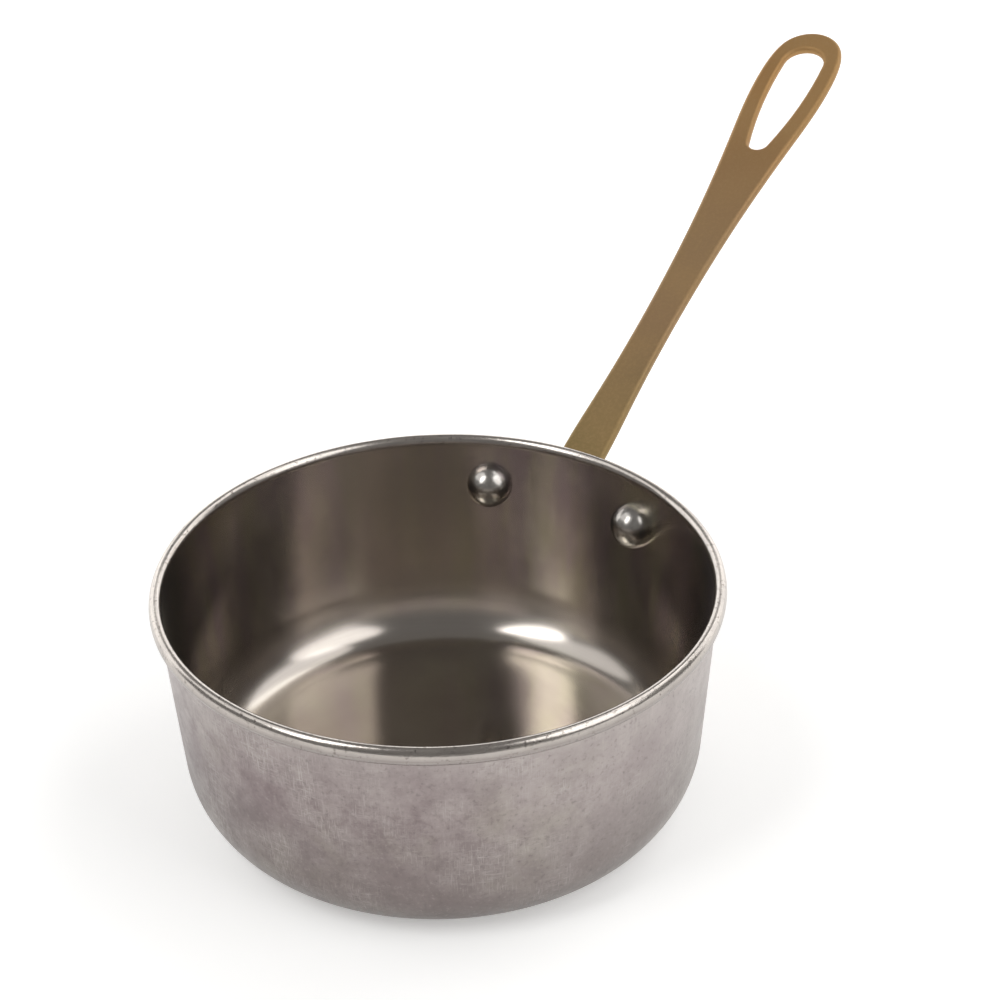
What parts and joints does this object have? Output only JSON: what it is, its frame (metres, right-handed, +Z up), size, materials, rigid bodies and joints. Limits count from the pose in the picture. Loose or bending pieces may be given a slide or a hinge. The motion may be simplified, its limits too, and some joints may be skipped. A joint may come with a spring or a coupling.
{
  "type": "small saucepan",
  "caption": "Small open steel saucepan with a rolled rim and a flat brass handle ending in a teardrop hanging hole, fixed by domed rivets.",
  "frame": {"origin": "centre of the pot's underside, on the surface it stands on", "axes": "+Z up along the pot's axis, +X towards the handle"},
  "size_m": [0.2144, 0.1, 0.0899],
  "materials": {
    "stainless": "satin steel with fine scratches, polished rim",
    "brass": "matte, lightly toned",
    "rivet_steel": "polished"
  },
  "bodies": {
    "root": {"pot_body": "stainless", "handle": "brass", "rivet_left": "rivet_steel", "rivet_right": "rivet_steel"}
  },
  "joints": []
}
